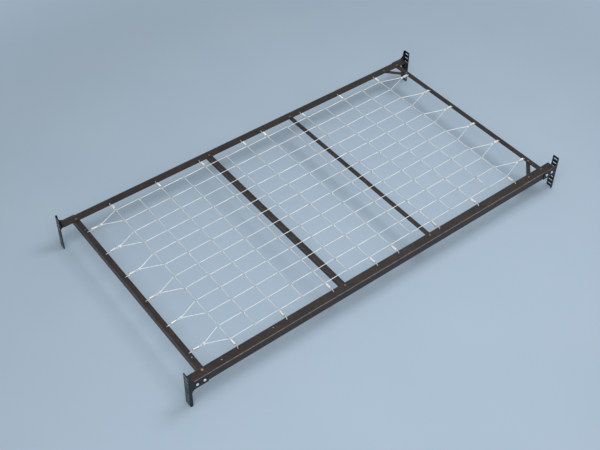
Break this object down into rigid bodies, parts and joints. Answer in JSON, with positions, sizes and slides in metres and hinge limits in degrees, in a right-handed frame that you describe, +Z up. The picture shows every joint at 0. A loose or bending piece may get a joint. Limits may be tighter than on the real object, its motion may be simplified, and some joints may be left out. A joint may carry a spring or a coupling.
{
  "type": "daybed link spring deck",
  "caption": "Flat spring deck for a metal daybed: riveted angle-iron frame, wire link fabric on tension springs, slotted corner brackets.",
  "frame": {"origin": "on the ground that the four brackets stand on, under the middle of the frame", "axes": "+X along the bed, +Y across it to the back, +Z up"},
  "size_m": [1.934, 1.014, 0.174],
  "materials": {
    "brown_enamel": "dark chocolate-brown baked enamel, half gloss",
    "black_enamel": "black enamel, half gloss",
    "bright_zinc": "bright zinc plate",
    "spring_zinc": "zinc-plated spring wire",
    "net_zinc": "galvanised wire, a little dull"
  },
  "bodies": {
    "frame": {"side_rail_near": "brown_enamel", "side_rail_far": "brown_enamel", "end_rail_left": "brown_enamel", "end_rail_right": "brown_enamel", "cross_brace_left": "brown_enamel", "cross_brace_right": "brown_enamel", "corner_strap_near": "brown_enamel", "corner_strap_far": "brown_enamel", "bracket_near_left": "black_enamel", "bracket_near_right": "black_enamel", "bracket_far_left": "black_enamel", "bracket_far_right": "black_enamel", "bolt_near_left_1": "bright_zinc", "bolt_near_left_2": "bright_zinc", "bolt_near_right_1": "bright_zinc", "bolt_near_right_2": "bright_zinc", "bolt_far_left_1": "bright_zinc", "bolt_far_left_2": "bright_zinc", "bolt_far_right_1": "bright_zinc", "bolt_far_right_2": "bright_zinc", "nut_near_left_1": "bright_zinc", "nut_near_left_2": "bright_zinc", "nut_near_right_1": "bright_zinc", "nut_near_right_2": "bright_zinc", "nut_far_left_1": "bright_zinc", "nut_far_left_2": "bright_zinc", "nut_far_right_1": "bright_zinc", "nut_far_right_2": "bright_zinc", "spring_near_1": "spring_zinc", "spring_near_2": "spring_zinc", "spring_near_3": "spring_zinc", "spring_near_4": "spring_zinc", "spring_near_5": "spring_zinc", "spring_near_6": "spring_zinc", "spring_near_7": "spring_zinc", "spring_near_8": "spring_zinc", "spring_far_1": "spring_zinc", "spring_far_2": "spring_zinc", "spring_far_3": "spring_zinc", "spring_far_4": "spring_zinc", "spring_far_5": "spring_zinc", "spring_far_6": "spring_zinc", "spring_far_7": "spring_zinc", "spring_far_8": "spring_zinc", "spring_left_1": "spring_zinc", "spring_left_2": "spring_zinc", "spring_left_3": "spring_zinc", "spring_left_4": "spring_zinc", "spring_left_5": "spring_zinc", "spring_left_6": "spring_zinc", "spring_right_1": "spring_zinc", "spring_right_2": "spring_zinc", "spring_right_3": "spring_zinc", "spring_right_4": "spring_zinc", "spring_right_5": "spring_zinc", "spring_right_6": "spring_zinc"},
    "fabric": {"link_fabric": "net_zinc"}
  },
  "joints": [
    {"name": "fabric_bounce", "type": "slide", "parent": "frame", "child": "fabric", "axis": [0, 0, 1], "range_m": [-0.0034, 0.015], "stiffness_N_per_m": 15000, "springref_m": 0.0004, "deforming": ["spring_near_1", "spring_near_2", "spring_near_3", "spring_near_4", "spring_near_5", "spring_near_6", "spring_near_7", "spring_near_8", "spring_far_1", "spring_far_2", "spring_far_3", "spring_far_4", "spring_far_5", "spring_far_6", "spring_far_7", "spring_far_8", "spring_left_1", "spring_left_2", "spring_left_3", "spring_left_4", "spring_left_5", "spring_left_6", "spring_right_1", "spring_right_2", "spring_right_3", "spring_right_4", "spring_right_5", "spring_right_6"]}
  ]
}
